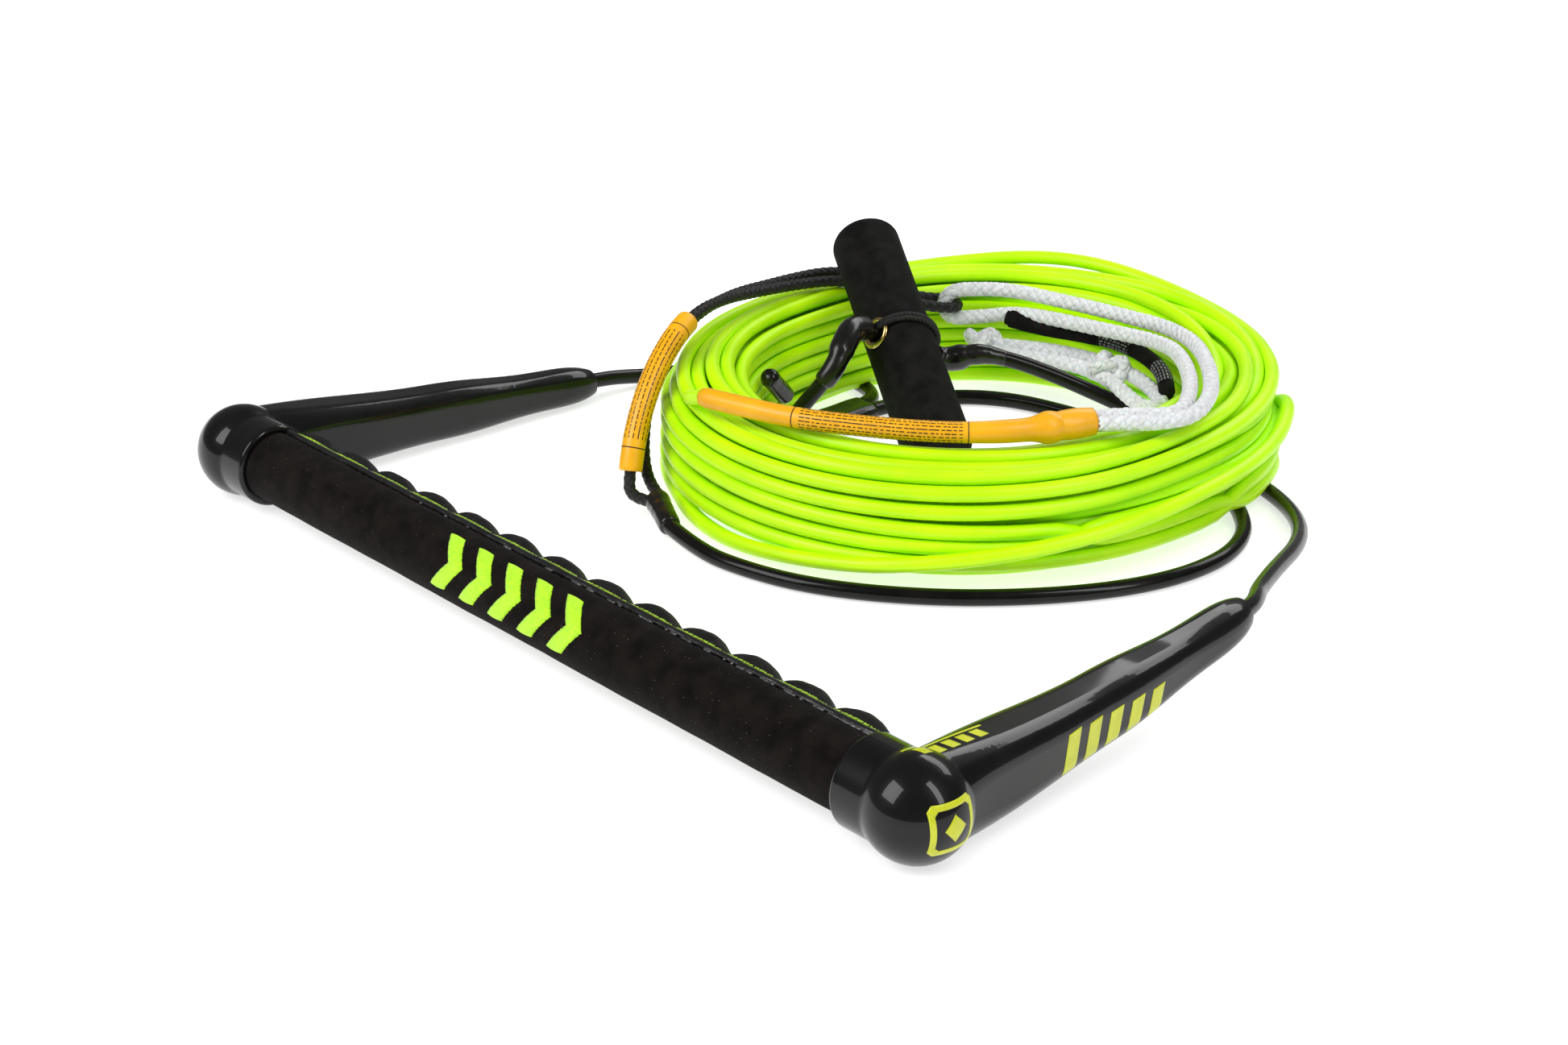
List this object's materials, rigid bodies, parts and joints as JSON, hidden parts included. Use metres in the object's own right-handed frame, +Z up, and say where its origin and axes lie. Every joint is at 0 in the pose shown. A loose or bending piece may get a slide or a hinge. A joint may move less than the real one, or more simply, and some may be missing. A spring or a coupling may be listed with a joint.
{
  "type": "water-ski tow rope handle",
  "caption": "Tow rope handle with a padded straight bar, rubber arms, coated bridle line, foam toggle and coiled main line with white loops.",
  "frame": {"origin": "on the floor under the middle of the box round the rigid bar-and-arms piece", "axes": "+X along the bar, +Y from the bar towards the arm tips and the coil, +Z up"},
  "size_m": [0.4176, 0.3825, 0.0824],
  "materials": {
    "bar_metal": "drawn tube",
    "plug": "moulded",
    "pin_metal": "plain",
    "foam_padding": "closed-cell foam",
    "grip_fabric": "brushed suede",
    "piping": "gloss piping",
    "lime_thread": "stitching thread",
    "arm_rubber": "gloss moulded rubber with lime print",
    "black_line": "gloss coated line",
    "shrink_tube": "shrink tube",
    "black_braid": "braided line",
    "white_braid": "braided rope",
    "warning_orange": "satin printed tube",
    "lime_line": "gloss coated line",
    "toggle_foam": "matte closed-cell foam",
    "liner_plastic": "plain",
    "brass": "polished"
  },
  "bodies": {
    "rope": {"mainline_coil": "lime_line", "leg_lead_left": "black_line", "leg_lead_right": "black_line", "bridle_leg_left": "black_line", "bridle_leg_right": "black_line", "bridle_splice": "shrink_tube", "toggle_line": "black_line", "toggle_shrink_near": "shrink_tube", "toggle_shrink_far": "shrink_tube", "toggle_through_cord": "black_line", "handle_line": "black_line", "handle_line_shrink": "shrink_tube", "end_loop": "black_braid", "link_loop": "white_braid", "link_loop_splice": "warning_orange", "link_loop_tail": "white_braid", "warning_sleeve_fixed": "warning_orange", "section_sleeve": "shrink_tube", "takeoff_loop": "white_braid", "takeoff_knot_a": "white_braid", "takeoff_knot_b": "white_braid", "rope_end_sleeve": "shrink_tube"},
    "handle": {"bar_tube": "bar_metal", "bar_plug_left": "plug", "bar_plug_right": "plug", "lock_pin_left": "pin_metal", "lock_pin_right": "pin_metal", "grip_underlay": "foam_padding", "grip_wrap": "grip_fabric", "grip_ribs": "grip_fabric", "piping_top": "piping", "piping_back": "piping", "stitches_top": "lime_thread", "stitches_back": "lime_thread", "arm_left": "arm_rubber", "arm_right": "arm_rubber", "leg_core_left": "black_line", "leg_core_right": "black_line", "leg_ferrule_left": "pin_metal", "leg_ferrule_right": "pin_metal"},
    "t_grip": {"toggle_foam": "toggle_foam", "toggle_liner": "liner_plastic", "toggle_eyelets": "brass", "toggle_lashing": "black_braid"},
    "loose_sleeve": {"warning_sleeve_loose": "warning_orange"}
  },
  "joints": [
    {"name": "handle_lift", "type": "hinge", "parent": "rope", "child": "handle", "pos_m": [0.0025, 0.0908, 0.018], "axis": [-0.9985, 0, -0.0556], "range_deg": [0, 75], "deforming": ["leg_lead_left", "leg_lead_right"]},
    {"name": "t_grip_swivel", "type": "hinge", "parent": "rope", "child": "t_grip", "pos_m": [-0.0512, 0.1541, 0.045], "axis": [0.1979, 0.8476, -0.4923], "range_deg": [-2.5, 2.5]},
    {"name": "loose_sleeve_slide", "type": "hinge", "parent": "rope", "child": "loose_sleeve", "pos_m": [-0.09468, 0.09728, -0.01141], "axis": [-0.9421, -0.3169, -0.1096], "range_deg": [0, 4]}
  ]
}
